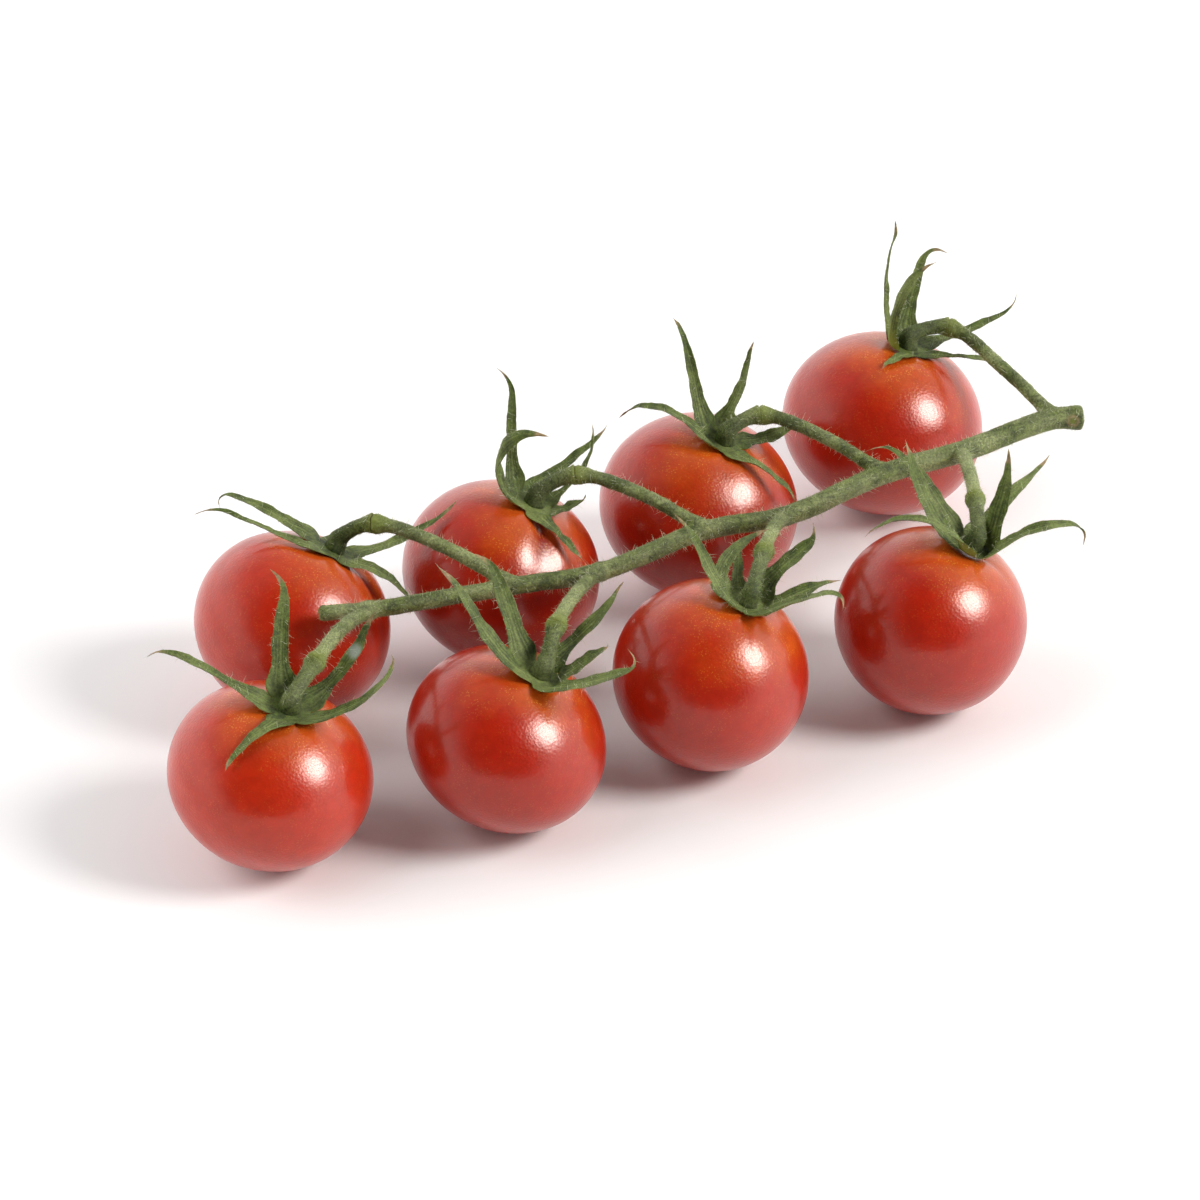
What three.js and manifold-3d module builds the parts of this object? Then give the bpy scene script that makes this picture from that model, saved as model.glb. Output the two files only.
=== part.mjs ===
// A truss of cherry tomatoes, cut from the vine and laid down: eight ripe fruits in two rows,
// one on each side of the stem that they grew on.
//
// Millimetres. +X runs along the stem, from its thin tip to its thick cut end, +Y points to the back
// row and +Z up. The origin is on the surface, under the middle of the box around the whole truss.
//
// Each fruit hangs on the main stem by a pedicel, which swells into a knuckle where a ripe fruit
// breaks off. Past the knuckle a short stalk carries the calyx, a hub with a ring of narrow sepals,
// and the calyx sits in the dimple of the fruit.

import * as THREE from "three";
import { mergeVertices } from "three/addons/utils/BufferGeometryUtils.js";
import Module from "manifold-3d";

// ---- sizes of the fruits ----
const FRUIT_DIAMETER = 29.9; // of a middling fruit; each one differs a little, see FRUITS
const DIMPLE_DEPTH = 1.3; // how far the skin sinks in under the calyx
const DIMPLE_SPREAD = 17; // degrees round the crown that the dimple takes up
const BACK_ROW_LAG = 16.6; // how far the back row starts along the stem from the front row

// ---- sizes of the stems ----
const STEM_DROP = 5.6; // how far the main stem hangs below the tops of the fruits
const TIP_LENGTH = 7.5; // bare main stem past the first joint
const BUTT_LENGTH = 3.9; // bare main stem past the last joint
const TIP_TURN = [1.2, 0.8]; // how far the thin end strays from the first joint, along Y and Z
const BUTT_TURN = [-1.4, -0.2]; // the same at the cut end, from the last joint
const TIP_DIAMETER = 2.3;
const BUTT_DIAMETER = 3.4;
const BUTT_FLARE = 0.5; // extra diameter at the cut, where the stem left the vine
const PEDICEL_DIAMETER = 2.0;
const PEDICEL_FLARE = 1.2; // extra diameter where a pedicel grows out of the main stem
const STALK_DIAMETER = 2.2;
const STALK_RISE = 1.4; // how far the stalk runs straight up from the calyx before it bends away
const STALK_FLARE = 0.9; // extra diameter where the stalk spreads into the calyx
const FLARE_LENGTH = 3.5;
const KNUCKLE_DIAMETER = 3.1;
const KNUCKLE_LENGTH = 3.6; // of the whole swelling, half on the pedicel and half on the stalk

// ---- sizes of the calyxes ----
const HUB_DIAMETER = 5.8;
const HUB_THICKNESS = 0.9;
const HUB_FLAT = 0.6; // the share of the hub's radius that is flat, before its edge slopes
const HUB_BEVEL = 0.25; // how far the underside of the hub rises to its edge, below each sepal
const SEPAL_TAPER = 0.6; // the share of its thickness that a sepal loses towards its tip
const SEPAL_THICKNESS = 0.55; // at the midrib; the margins are sharp
const SEPAL_FOLD = 0.35; // how steeply the two halves of a sepal rise from its midrib
const HOOK_FROM = 0.7; // a hooked tip starts this far along its sepal
const BASE_RUN = 0.25; // the part of a sepal that turns from its place on the hub to its own way

// ---- clearances ----
const BREAK_GAP = 0.3; // across the break line of a knuckle
const SEAT_GAP = 0.3; // under a calyx and under a stalk
const SKIN_GAP = 0.4; // under a sepal that lies along the fruit

// ---- how finely the surfaces are cut ----
const FRUIT_SIDES = 28;
const FRUIT_BANDS = 14;
const STEM_SIDES = 10;
const STEM_STEP = 2.4;
const LEAST_STEM_STEPS = 6;
const KNUCKLE_SEARCH = 500; // points tried along a hanging line to find its knuckle
const SEPAL_STATIONS = 9;

// ---- the fruits, each row from the thin end of the stem ----
// wider      its diameter, less FRUIT_DIAMETER
// flatter    its diameter, less its height
// gap        free space along the row to the fruit before it
// aside      free space between the line of the stem and its near side; less than 0 is tucked under
// crown      how far its stem end leans along X and Y from straight above its middle
// joint      how far past its middle, along X, its pedicel leaves the main stem
// sway       where the main stem passes there, along Y and Z, from its straight line
// knuckle    from the top of the fruit to its knuckle, along X, Y and Z
// arch       how far the pedicel bows up on its way
// firstBase  degrees round the hub where the first sepal grows; the others follow evenly
//
// A sepal soon heads towards turn (degrees from +X, counterclockwise from above) and climbs at rise.
// On its way to the tip its climb changes by curl and its direction by sweep, its blade turns over
// by twist, and near the tip hook is added to its climb.
const FRUITS = [
  {
    name: "front_1", side: -1, wider: -0.1, flatter: 4.2, gap: 0, aside: 2.2,
    crown: [3.4, -1.8], joint: 22.9, sway: [-0.8, 0.6], knuckle: [8.3, 2.1, 3.2], arch: 1.5,
    firstBase: -60,
    sepals: [
      { turn: -28, rise: 12, curl: 60, length: 20.5, width: 2.4, twist: 20 },
      { turn: 14, rise: 6, curl: 76, length: 18, width: 3.3 },
      { turn: 68, rise: 52, length: 19, width: 3.1, twist: -10 },
      { turn: 137, rise: 29, curl: -14, hook: -45, length: 20, width: 2.8 },
      { turn: 192, rise: -10, curl: -30, length: 11.5, width: 2.7 },
    ],
  },
  {
    name: "front_2", side: -1, wider: -0.1, flatter: 4.6, gap: 4.6, aside: 8.4,
    crown: [5.7, -2.2], joint: 23.8, sway: [-4.6, -0.6], knuckle: [8.9, 2, 3], arch: 1.5,
    firstBase: -105,
    sepals: [
      { turn: -42, rise: 20, curl: 14, hook: 80, length: 19.5, width: 2.6 },
      { turn: -30, rise: 43, length: 10.5, width: 3.1 },
      { turn: -2, rise: 20, curl: 46, length: 17.5, width: 2.8 },
      { turn: 94, rise: 50, length: 18, width: 3.0 },
      { turn: 124, rise: 40, curl: 18, length: 20.5, width: 2.6 },
    ],
  },
  {
    name: "front_3", side: -1, wider: -0.6, flatter: 1.4, gap: 3.6, aside: 8.3,
    crown: [5.2, -1.8], joint: 21.8, sway: [-3.6, -0.2], knuckle: [10.6, 4.5, 2], arch: 1.5,
    firstBase: -95,
    sepals: [
      { turn: -46, rise: 33, curl: 4, hook: -110, length: 19.5, width: 2.3 },
      { turn: -23, rise: 30, curl: -14, length: 12, width: 3.1 },
      { turn: 8, rise: 36, sweep: -15, hook: 40, length: 14.5, width: 3.4 },
      { turn: 62, rise: 25, length: 8, width: 2.0 },
      { turn: 68, rise: 24, curl: -6, sweep: -44, length: 15, width: 2.4 },
      { turn: 108, rise: 50, curl: -22, length: 17, width: 2.6 },
    ],
  },
  {
    name: "front_4", side: -1, wider: -0.9, flatter: 1.0, gap: 6.6, aside: 10,
    crown: [6.1, -1.2], joint: 18.6, sway: [0.8, -0.2], knuckle: [9.5, 4.8, 2], arch: 1,
    firstBase: -70,
    sepals: [
      { turn: -22, rise: 52, curl: -66, hook: -40, length: 19, width: 2.7 },
      { turn: 24, rise: 64, curl: 18, length: 16.5, width: 3.2 },
      { turn: 25, rise: 12, length: 21, width: 2.5 },
      { turn: 105, rise: 50, curl: -48, hook: -30, length: 21, width: 2.5 },
      { turn: 122, rise: 40, curl: 45, length: 18.5, width: 3.2 },
      { turn: 148, rise: 72, curl: -126, length: 20, width: 1.9 },
    ],
  },
  {
    name: "back_1", side: 1, wider: 0, flatter: 2.2, gap: 0, aside: -0.2,
    crown: [7.8, 0.2], joint: 28.4, sway: [-2.6, -0.6], knuckle: [12.2, -3.2, 2.6], arch: 1.5,
    firstBase: -75,
    sepals: [
      { turn: -35, rise: 5, curl: -85, length: 15, width: 2.0 },
      { turn: 0, rise: -8, curl: 44, length: 18.5, width: 2.0 },
      { turn: 30, rise: -8, curl: -10, length: 5, width: 2.0 },
      { turn: 125, rise: 22, curl: -24, hook: -30, length: 20, width: 2.2 },
      { turn: 131, rise: 16, curl: -8, length: 21.5, width: 1.8 },
    ],
  },
  {
    name: "back_2", side: 1, wider: 0.4, flatter: 3.0, gap: 3.7, aside: -0.8,
    crown: [5.6, -1.6], joint: 26.7, sway: [-1.6, -0.4], knuckle: [10.9, -3.6, 3.2], arch: 1.5,
    firstBase: -110,
    sepals: [
      { turn: -60, rise: -20, curl: -15, length: 10.5, width: 2.2 },
      { turn: -18, rise: 8, curl: 30, length: 6.5, width: 2.4 },
      { turn: 6, rise: 12, curl: 80, length: 15, width: 1.6 },
      { turn: -4, rise: 14, curl: 34, length: 16, width: 2.1 },
      { turn: 63, rise: 62, curl: 10, hook: -34, length: 20.5, width: 2.8 },
      { turn: 130, rise: 34, curl: 148, length: 20.5, width: 2.2 },
    ],
  },
  {
    name: "back_3", side: 1, wider: 0.9, flatter: 3.4, gap: 4.6, aside: 2.8,
    crown: [3.4, -3.0], joint: 22.9, sway: [0.8, -0.5], knuckle: [8.6, -3.4, 2.6], arch: 1.5,
    firstBase: -85,
    sepals: [
      { turn: -48, rise: 0, curl: -55, length: 13, width: 1.7 },
      { turn: -22, rise: -2, curl: 34, sweep: 24, length: 9, width: 2.3, twist: 50 },
      { turn: 2, rise: 52, curl: 38, length: 15.5, width: 3.0 },
      { turn: 78, rise: 55, curl: 12, hook: -110, length: 19.5, width: 2.9 },
      { turn: 125, rise: 58, curl: -104, length: 18.5, width: 2.3 },
    ],
  },
  {
    name: "back_4", side: 1, wider: 1.8, flatter: 3.4, gap: 5.1, aside: 10.4,
    crown: [4.4, 0.2], joint: 17.2, sway: [2.4, 0.2], knuckle: [10.4, -1.2, 1.8], arch: 1,
    firstBase: -55,
    sepals: [
      { turn: -20, rise: 2, curl: -22, length: 13.5, width: 1.6 },
      { turn: 0, rise: 0, curl: 20, hook: 35, length: 19, width: 2.3 },
      { turn: 55, rise: 50, hook: -40, sweep: -55, length: 17.5, width: 3.0 },
      { turn: 130, rise: 74, curl: 38, length: 23, width: 1.6 },
      { turn: 165, rise: 78, curl: 60, length: 18, width: 2.4 },
      { turn: 190, rise: -5, curl: -40, length: 6.5, width: 1.8 },
    ],
  },
];

const X = new THREE.Vector3(1, 0, 0);
const Y = new THREE.Vector3(0, 1, 0);
const Z = new THREE.Vector3(0, 0, 1);
const radians = THREE.MathUtils.degToRad;

const wasm = await Module();
wasm.setup();

// ---- finishes ----
const skinMaterial = () => new THREE.MeshStandardMaterial({ color: 0xa31f0e, roughness: 0.22 });
const stemMaterial = () => new THREE.MeshStandardMaterial({ color: 0x76854a, roughness: 0.7 });
const sepalMaterial = () => new THREE.MeshStandardMaterial({ color: 0x5f7040, roughness: 0.75 });

// ---- the fruits ----

// The way from a fruit's middle to its crown, as a unit vector.
function crownAxis(fruit) {
  const [x, y] = fruit.crown;
  const radius = (FRUIT_DIAMETER + fruit.wider) / 2;
  return new THREE.Vector3(x, y, Math.sqrt(radius ** 2 - x ** 2 - y ** 2)).normalize();
}

// From a fruit's middle to its skin, at an angle from its crown: a flattened ball with a dimple.
function skinRadius(fruit, polar) {
  const across = (FRUIT_DIAMETER + fruit.wider) / 2;
  const tall = across - fruit.flatter / 2;
  const ball = 1 / Math.hypot(Math.sin(polar) / across, Math.cos(polar) / tall);
  return ball - DIMPLE_DEPTH * Math.exp(-((polar / radians(DIMPLE_SPREAD)) ** 2));
}

function tomatoMesh(fruit) {
  const outline = [];
  for (let i = 0; i <= FRUIT_BANDS; i++) {
    const polar = (Math.PI * i) / FRUIT_BANDS;
    const r = skinRadius(fruit, polar);
    const onAxis = i === 0 || i === FRUIT_BANDS;
    outline.unshift(new THREE.Vector2(onAxis ? 0 : r * Math.sin(polar), r * Math.cos(polar)));
  }
  const mesh = new THREE.Mesh(new THREE.LatheGeometry(outline, FRUIT_SIDES), skinMaterial());
  mesh.quaternion.setFromUnitVectors(Y, crownAxis(fruit));
  mesh.name = "tomato_" + fruit.name;
  return mesh;
}

// ---- where everything is ----

let along = 0;
for (const fruit of FRUITS) {
  const index = FRUITS.indexOf(fruit);
  const before = FRUITS[index - 1];
  const diameter = FRUIT_DIAMETER + fruit.wider;
  if (before && before.side === fruit.side) {
    along += (FRUIT_DIAMETER + before.wider + diameter) / 2 + fruit.gap;
  } else {
    along = fruit.side > 0 ? BACK_ROW_LAG : 0;
  }
  fruit.tomato = tomatoMesh(fruit);
  const box = new THREE.Box3().setFromObject(fruit.tomato, true);
  fruit.middle = new THREE.Vector3(along, fruit.side * (diameter / 2 + fruit.aside), -box.min.z);
  fruit.axis = crownAxis(fruit);
  fruit.top = fruit.middle.clone().add(new THREE.Vector3(0, 0, box.max.z));
  fruit.knuckleAt = fruit.top.clone().add(new THREE.Vector3(...fruit.knuckle));
}

// ---- the main stem ----

const stemHeight = FRUIT_DIAMETER - STEM_DROP;
const jointOf = (fruit) =>
  new THREE.Vector3(fruit.middle.x + fruit.joint, fruit.sway[0], stemHeight + fruit.sway[1]);
const joints = FRUITS.map(jointOf).sort((a, b) => a.x - b.x);
const tip = joints[0].clone().add(new THREE.Vector3(-TIP_LENGTH, ...TIP_TURN));
const butt = joints.at(-1).clone().add(new THREE.Vector3(BUTT_LENGTH, ...BUTT_TURN));
const stemLine = new THREE.CatmullRomCurve3([tip, ...joints, butt], false, "centripetal");

// Part of a longer curve, between two of its fractions.
class Stretch extends THREE.Curve {
  constructor(whole, from, to) {
    super();
    this.whole = whole;
    this.from = from;
    this.to = to;
  }
  getPoint(t, target = new THREE.Vector3()) {
    return target.copy(this.whole.getPointAt(this.from + (this.to - this.from) * t));
  }
}

// A round stem along a curve. radiusAt gives its radius at a distance from the start.
function stemGeometry(curve, radiusAt) {
  const length = curve.getLength();
  const steps = Math.max(LEAST_STEM_STEPS, Math.round(length / STEM_STEP));
  const frames = curve.computeFrenetFrames(steps);
  const geometry = new THREE.CylinderGeometry(1, 1, 1, STEM_SIDES, steps);
  const place = geometry.attributes.position;
  for (let i = 0; i < place.count; i++) {
    const step = Math.round((place.getY(i) + 0.5) * steps);
    const radius = radiusAt((length * step) / steps, length);
    const point = curve.getPointAt(step / steps);
    point.addScaledVector(frames.binormals[step], place.getX(i) * radius);
    point.addScaledVector(frames.normals[step], place.getZ(i) * radius);
    place.setXYZ(i, point.x, point.y, point.z);
  }
  return geometry;
}

// How much of a swelling is left at a distance from where it is fullest.
const fade = (distance, reach) => {
  const t = Math.min(1, Math.abs(distance) / reach);
  return (1 + Math.cos(Math.PI * t)) / 2;
};

const knuckleSwell = (distance, diameter) =>
  ((KNUCKLE_DIAMETER - diameter) / 2) * fade(distance, KNUCKLE_LENGTH / 2);

// The line from the main stem by the knuckle to the calyx, and where the knuckle is on it.
function hangingLine(fruit) {
  const joint = jointOf(fruit);
  const halfway = joint.clone().lerp(fruit.knuckleAt, 0.5).addScaledVector(Z, fruit.arch);
  const seat = skinRadius(fruit, 0) + SEAT_GAP + HUB_THICKNESS + SEAT_GAP;
  const foot = fruit.middle.clone().addScaledVector(fruit.axis, seat);
  const above = foot.clone().addScaledVector(fruit.axis, STALK_RISE);
  const points = [joint, halfway, fruit.knuckleAt, above, foot];
  const line = new THREE.CatmullRomCurve3(points, false, "centripetal");
  let nearest = Infinity;
  let fraction = 0;
  for (let i = 0; i <= KNUCKLE_SEARCH; i++) {
    const distance = line.getPointAt(i / KNUCKLE_SEARCH).distanceTo(fruit.knuckleAt);
    if (distance < nearest) {
      nearest = distance;
      fraction = i / KNUCKLE_SEARCH;
    }
  }
  return { line, fraction, length: line.getLength() };
}

function pedicelGeometry(fruit) {
  const { line, fraction, length } = hangingLine(fruit);
  const end = fraction - BREAK_GAP / 2 / length;
  return stemGeometry(new Stretch(line, 0, end), (distance, whole) => {
    const flare = (PEDICEL_FLARE / 2) * fade(distance, FLARE_LENGTH);
    return PEDICEL_DIAMETER / 2 + flare + knuckleSwell(whole - distance, PEDICEL_DIAMETER);
  });
}

function stalkMesh(fruit) {
  const { line, fraction, length } = hangingLine(fruit);
  const start = fraction + BREAK_GAP / 2 / length;
  const geometry = stemGeometry(new Stretch(line, start, 1), (distance, whole) => {
    const flare = (STALK_FLARE / 2) * fade(whole - distance, FLARE_LENGTH);
    return STALK_DIAMETER / 2 + flare + knuckleSwell(distance, STALK_DIAMETER);
  });
  geometry.translate(-fruit.middle.x, -fruit.middle.y, -fruit.middle.z);
  const mesh = new THREE.Mesh(geometry, stemMaterial());
  mesh.name = "stalk_" + fruit.name;
  return mesh;
}

function solidOf(geometry) {
  const bare = geometry.index ? geometry.clone() : geometry;
  bare.deleteAttribute("normal");
  bare.deleteAttribute("uv");
  const merged = mergeVertices(bare);
  const vertProperties = merged.attributes.position.array;
  const triVerts = new Uint32Array(merged.index.array);
  return new wasm.Manifold(new wasm.Mesh({ numProp: 3, vertProperties, triVerts }));
}

function geometryOf(solid) {
  const mesh = solid.getMesh();
  const geometry = new THREE.BufferGeometry();
  geometry.setAttribute("position", new THREE.BufferAttribute(mesh.vertProperties, 3));
  geometry.setIndex(new THREE.BufferAttribute(mesh.triVerts, 1));
  geometry.computeVertexNormals();
  return geometry;
}

// The main stem and its eight pedicels grew as one piece.
function mainStemMesh() {
  let solid = solidOf(
    stemGeometry(stemLine, (distance, whole) => {
      const diameter = THREE.MathUtils.lerp(TIP_DIAMETER, BUTT_DIAMETER, distance / whole);
      return (diameter + BUTT_FLARE * fade(whole - distance, BUTT_LENGTH)) / 2;
    }),
  );
  for (const fruit of FRUITS) {
    solid = solid.add(solidOf(pedicelGeometry(fruit)));
  }
  const mesh = new THREE.Mesh(geometryOf(solid), stemMaterial());
  mesh.name = "main_stem";
  return mesh;
}

// ---- the calyxes ----

// A direction from its compass turn and its climb, in degrees.
function heading(turn, climb) {
  const level = Math.cos(radians(climb));
  return new THREE.Vector3(
    level * Math.cos(radians(turn)),
    level * Math.sin(radians(turn)),
    Math.sin(radians(climb)),
  );
}

// A point that would be in the fruit, or too near its skin, moves out along its own radius.
function clearOfSkin(fruit, point) {
  const least = skinRadius(fruit, point.angleTo(fruit.axis)) + SKIN_GAP;
  if (point.length() < least) point.setLength(least);
  return point;
}

// A blade keeps most of its width for half its length, and then runs out to a point.
const bladeWidth = (t) => (1 - t ** 1.8) ** 0.8;

// The sections of one sepal: at each station its left margin, upper midrib, right margin and lower
// midrib, and last the tip alone. Points are measured from the fruit's middle.
function sepalSections(fruit, sepal, base) {
  const { turn, rise, length, width, curl = 0, sweep = 0, hook = 0, twist = 0 } = sepal;
  const at = base.point.clone();
  const sections = [];
  for (let i = 1; i <= SEPAL_STATIONS; i++) {
    const t = (i - 0.5) / SEPAL_STATIONS;
    const hooked = Math.max(0, (t - HOOK_FROM) / (1 - HOOK_FROM)) ** 2;
    const rooted = Math.max(0, 1 - t / BASE_RUN) ** 2;
    const towards = turn + sweep * t + (base.turn - turn) * rooted;
    const way = heading(towards, rise + curl * t + hook * hooked);
    at.addScaledVector(way, length / SEPAL_STATIONS);
    clearOfSkin(fruit, at);
    if (i === SEPAL_STATIONS) {
      sections.push([at.clone()]);
      break;
    }
    const toLeft = heading(towards + 90, 0).applyAxisAngle(way, radians(twist * t));
    const toFace = new THREE.Vector3().crossVectors(way, toLeft);
    const half = (width / 2) * bladeWidth(i / SEPAL_STATIONS);
    const thick = (SEPAL_THICKNESS / 2) * (1 - SEPAL_TAPER * t);
    const lower = at.clone().addScaledVector(toFace, -thick);
    const sunk = clearOfSkin(fruit, lower.clone()).sub(lower);
    const point = (left, up) =>
      at.clone().add(sunk).addScaledVector(toLeft, left).addScaledVector(toFace, up);
    sections.push([
      clearOfSkin(fruit, point(half, half * SEPAL_FOLD)),
      point(0, thick),
      clearOfSkin(fruit, point(-half, half * SEPAL_FOLD)),
      point(0, -thick),
    ]);
  }
  return sections;
}

// The hub and its sepals as one closed surface. Round the hub, a notch between two sepals is one
// point that both blades share.
function calyxMesh(fruit) {
  const points = [];
  const triangles = [];
  const addPoint = (point) => points.push(point.clone()) - 1;
  const addFace = (...corners) => {
    for (let i = 2; i < corners.length; i++) {
      triangles.push(corners[0], corners[i - 1], corners[i]);
    }
  };

  const seat = fruit.axis.clone().multiplyScalar(skinRadius(fruit, 0) + SEAT_GAP);
  const east = X.clone().addScaledVector(fruit.axis, -X.dot(fruit.axis)).normalize();
  const north = new THREE.Vector3().crossVectors(fruit.axis, east);
  const onHub = (angle, radius, height) =>
    seat
      .clone()
      .addScaledVector(east, radius * Math.cos(angle))
      .addScaledVector(north, radius * Math.sin(angle))
      .addScaledVector(fruit.axis, height);

  const count = fruit.sepals.length;
  const sector = (2 * Math.PI) / count;
  const rim = HUB_DIAMETER / 2;
  const inner = rim * HUB_FLAT;
  const upperCentre = addPoint(onHub(0, 0, HUB_THICKNESS));
  const lowerCentre = addPoint(onHub(0, 0, 0));
  const ring = fruit.sepals.map((sepal, i) => {
    const angle = radians(fruit.firstBase) + sector * i;
    const notch = angle + sector / 2;
    return {
      turn: THREE.MathUtils.radToDeg(angle),
      point: onHub(angle, rim, HUB_THICKNESS / 2),
      upperInner: addPoint(onHub(angle, inner, HUB_THICKNESS)),
      lowerInner: addPoint(onHub(angle, inner, 0)),
      upperNotchInner: addPoint(onHub(notch, inner, HUB_THICKNESS)),
      lowerNotchInner: addPoint(onHub(notch, inner, 0)),
      upperRib: addPoint(onHub(angle, rim, HUB_THICKNESS)),
      lowerRib: addPoint(clearOfSkin(fruit, onHub(angle, rim, HUB_BEVEL))),
      notch: addPoint(clearOfSkin(fruit, onHub(notch, rim, HUB_THICKNESS / 2))),
    };
  });

  fruit.sepals.forEach((sepal, i) => {
    const here = ring[i];
    const before = ring[(i + count - 1) % count];
    addFace(upperCentre, before.upperNotchInner, here.upperInner);
    addFace(upperCentre, here.upperInner, here.upperNotchInner);
    addFace(before.upperNotchInner, before.notch, here.upperRib, here.upperInner);
    addFace(here.upperInner, here.upperRib, here.notch, here.upperNotchInner);
    addFace(lowerCentre, here.lowerInner, before.lowerNotchInner);
    addFace(lowerCentre, here.lowerNotchInner, here.lowerInner);
    addFace(before.lowerNotchInner, here.lowerInner, here.lowerRib, before.notch);
    addFace(here.lowerInner, here.lowerNotchInner, here.notch, here.lowerRib);

    // Seen from the tip, a section runs left margin, upper midrib, right margin, lower midrib.
    let last = [here.notch, here.upperRib, before.notch, here.lowerRib];
    for (const section of sepalSections(fruit, sepal, here)) {
      const next = section.map(addPoint);
      for (let k = 0; k < 4; k++) {
        const k1 = (k + 1) % 4;
        if (next.length === 1) addFace(last[k], last[k1], next[0]);
        else addFace(last[k], last[k1], next[k1], next[k]);
      }
      last = next;
    }
  });

  const geometry = new THREE.BufferGeometry().setFromPoints(points);
  geometry.setIndex(triangles);
  geometry.computeVertexNormals();
  const mesh = new THREE.Mesh(geometry, sepalMaterial());
  mesh.name = "calyx_" + fruit.name;
  return mesh;
}

// ---- the truss ----
const truss = new THREE.Group();
truss.add(mainStemMesh());
for (const fruit of FRUITS) {
  const hanging = new THREE.Group();
  hanging.position.copy(fruit.middle);
  hanging.add(fruit.tomato, calyxMesh(fruit), stalkMesh(fruit));
  truss.add(hanging);
}
const around = new THREE.Box3().setFromObject(truss, true);
const centre = around.getCenter(new THREE.Vector3());
truss.position.set(-centre.x, -centre.y, -around.min.z);

export default truss;
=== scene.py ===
# %% [markdown]
# # A truss of cherry tomatoes
#
# Eight ripe cherry tomatoes on their truss, cut from the vine and laid on a white table. The model
# that comes in first is plain: it has the right sizes and places, but flat facets. Every piece is
# made again here with a fine surface, and takes its place and its size from the plain one.

# %% Bring in the plain model
import math

import bmesh
import bpy
import numpy as np
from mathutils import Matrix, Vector, noise


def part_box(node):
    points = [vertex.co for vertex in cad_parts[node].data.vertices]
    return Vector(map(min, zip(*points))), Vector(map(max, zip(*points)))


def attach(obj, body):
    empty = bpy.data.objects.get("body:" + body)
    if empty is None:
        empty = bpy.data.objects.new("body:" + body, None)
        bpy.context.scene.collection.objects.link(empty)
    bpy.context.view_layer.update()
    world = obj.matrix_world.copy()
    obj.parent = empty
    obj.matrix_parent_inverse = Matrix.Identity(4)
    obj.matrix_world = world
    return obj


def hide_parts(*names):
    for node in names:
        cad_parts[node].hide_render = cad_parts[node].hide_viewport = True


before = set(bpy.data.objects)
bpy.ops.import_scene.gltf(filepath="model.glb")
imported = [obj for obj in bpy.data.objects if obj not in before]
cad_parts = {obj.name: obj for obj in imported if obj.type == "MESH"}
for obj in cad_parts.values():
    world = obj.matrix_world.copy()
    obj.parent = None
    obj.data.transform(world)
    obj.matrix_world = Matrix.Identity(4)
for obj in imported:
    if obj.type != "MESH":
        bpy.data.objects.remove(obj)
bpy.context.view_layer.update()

MM = 0.001
FRUITS = sorted(n.removeprefix("tomato_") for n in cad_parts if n.startswith("tomato_"))
print("fruits:", ", ".join(FRUITS))

# %% [markdown]
# ## Camera
#
# The truss is seen from above at about 35 degrees, with a long lens from three quarters of a metre.
# A long lens keeps the near and the far fruits nearly the same size. The camera is made first, so
# that each later step can be looked at through it.

# %% Aim a long lens at the truss
VIEW_TURN = math.radians(-25)
VIEW_RISE = math.radians(35)
VIEW_DISTANCE = 0.75
AIM = Vector((-5.6 * MM, -1.1 * MM, 15 * MM))

sight = bpy.data.cameras.new("camera")
sight.lens = 150
sight.sensor_width = 36
camera = bpy.data.objects.new("camera", sight)
bpy.context.scene.collection.objects.link(camera)
bpy.context.scene.camera = camera
back = Vector((
    math.sin(VIEW_TURN) * math.cos(VIEW_RISE),
    -math.cos(VIEW_TURN) * math.cos(VIEW_RISE),
    math.sin(VIEW_RISE),
))
camera.location = AIM + back * VIEW_DISTANCE
camera.rotation_euler = (-back).to_track_quat("-Z", "Y").to_euler()
print("camera at", [round(c, 3) for c in camera.location])

# %% [markdown]
# ## Reading the plain model
#
# A plain node holds loose triangles, three points each. Welding the points that coincide shows
# which triangles are neighbours. From the neighbours it is easy to walk over a piece in steps, away
# from a chosen point: each step finds the next ring of points. That is how the sepals and the
# stalks are read below.

# %% Weld a node and walk over it
WELD = 0.001 * MM


def welded(node):
    """The node's points, each once, and its triangles as numbers into them."""
    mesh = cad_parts[node].data
    corners = np.array([v.co for v in mesh.vertices])
    keys = np.round(corners / WELD).astype(np.int64)
    _, first, number = np.unique(keys, axis=0, return_index=True, return_inverse=True)
    number = number.ravel()
    return corners[first], [[int(number[i]) for i in p.vertices] for p in mesh.polygons]


def neighbours(count, triangles):
    """For each point, the points that share an edge with it."""
    near = [set() for _ in range(count)]
    for a, b, c in triangles:
        near[a] |= {b, c}
        near[b] |= {a, c}
        near[c] |= {a, b}
    return near


def walk(near, start, steps):
    """The rings of points met on a walk from start."""
    rings, seen = [], {start}
    last = {start}
    for _ in range(steps):
        last = set().union(*(near[i] for i in last)) - seen
        seen |= last
        rings.append(sorted(last))
    return rings


def unit(vector):
    return vector / np.linalg.norm(vector)


print("the plain stem has", len(welded("main_stem")[0]), "different points")

# %% Turn points and faces into a piece
def make_piece(name, points, faces, material, node):
    """A smooth mesh object that rides on the truss, stands for a plain node and has a finish."""
    mesh = bpy.data.meshes.new(name)
    mesh.from_pydata([tuple(p) for p in points], [], [tuple(f) for f in faces])
    mesh.update()
    piece = bpy.data.objects.new(name, mesh)
    bpy.context.scene.collection.objects.link(piece)
    return dress(piece, material, node)


def dress(piece, material, node):
    """Gives a piece its finish, and has it ride on the truss and stand for a plain node."""
    piece.data.polygons.foreach_set("use_smooth", [True] * len(piece.data.polygons))
    piece.data.materials.clear()
    piece.data.materials.append(material)
    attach(piece, "root")
    if node:
        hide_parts(node)
    return piece


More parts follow.
